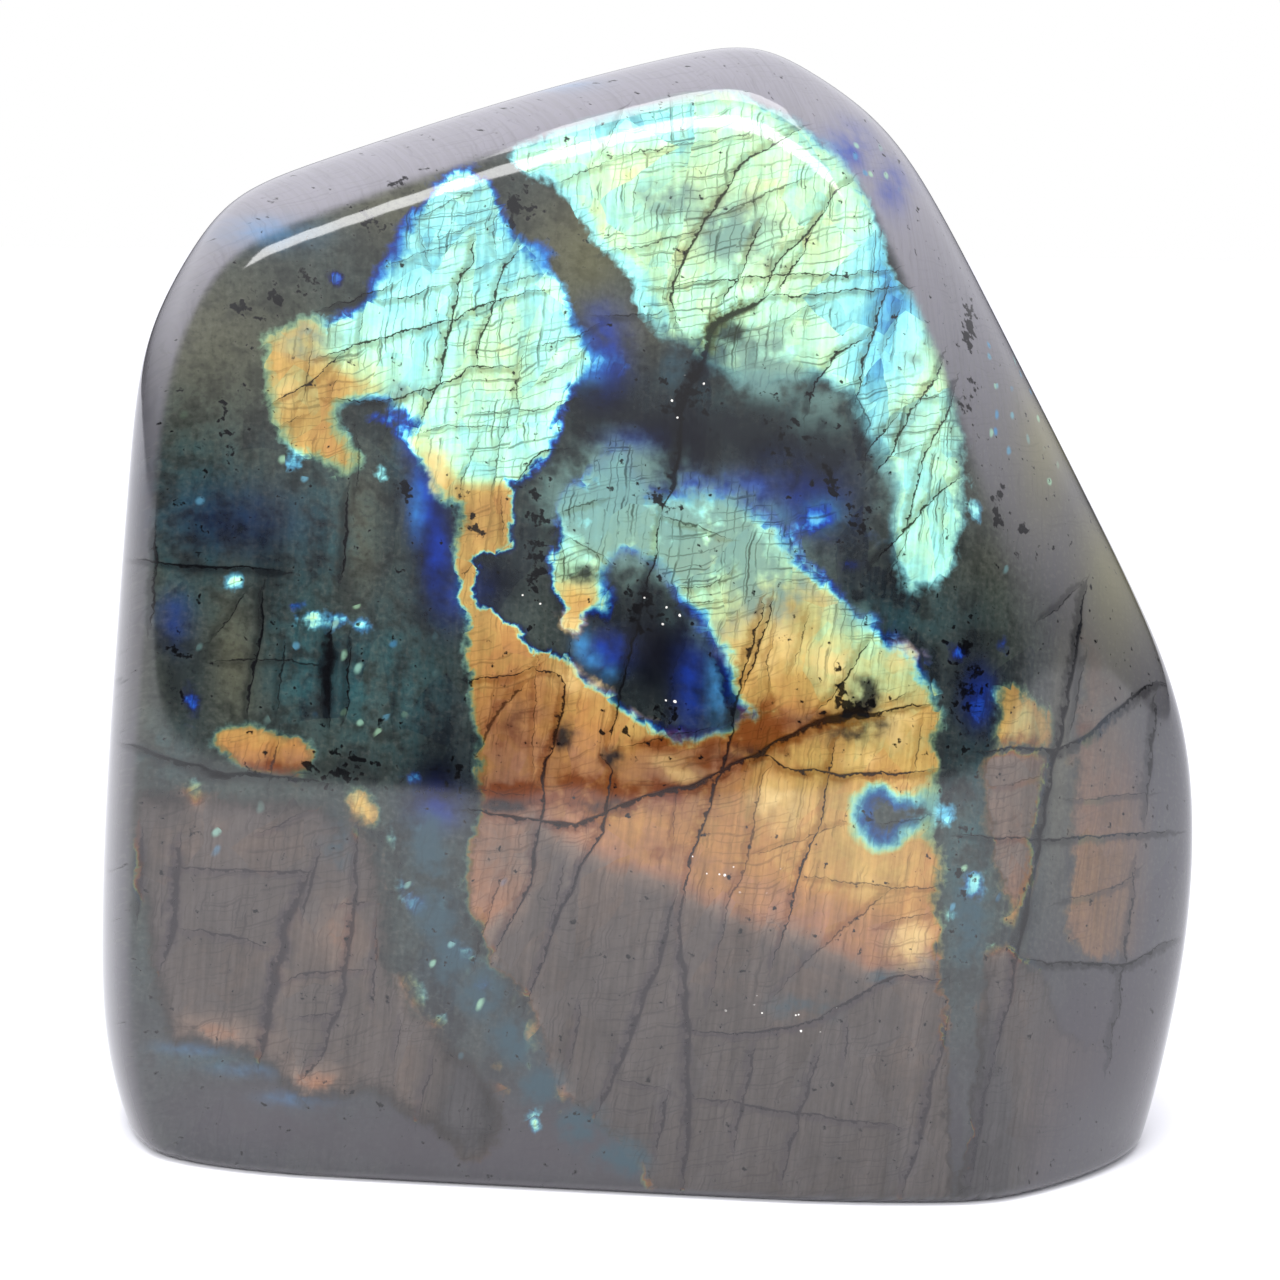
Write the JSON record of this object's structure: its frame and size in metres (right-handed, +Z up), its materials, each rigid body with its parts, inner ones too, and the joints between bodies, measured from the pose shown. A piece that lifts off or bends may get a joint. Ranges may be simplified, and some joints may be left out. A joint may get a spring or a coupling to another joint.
{
  "type": "polished labradorite freeform",
  "caption": "Free-standing polished labradorite stone: a broad slab with a sawn flat base, a sloping top, a rounded rim and bevelled edges round its front face.",
  "frame": {"origin": "on the sawn base, under the middle of the stone's box", "axes": "+Z up from the base, -Y out of the broad front face with the colour, +X to the right of someone who looks at that face; Y is the stone's thickness"},
  "size_m": [0.1442, 0.053, 0.1423],
  "materials": {
    "labradorite": "polished"
  },
  "bodies": {
    "root": {"labradorite_stone": "labradorite"}
  },
  "joints": []
}
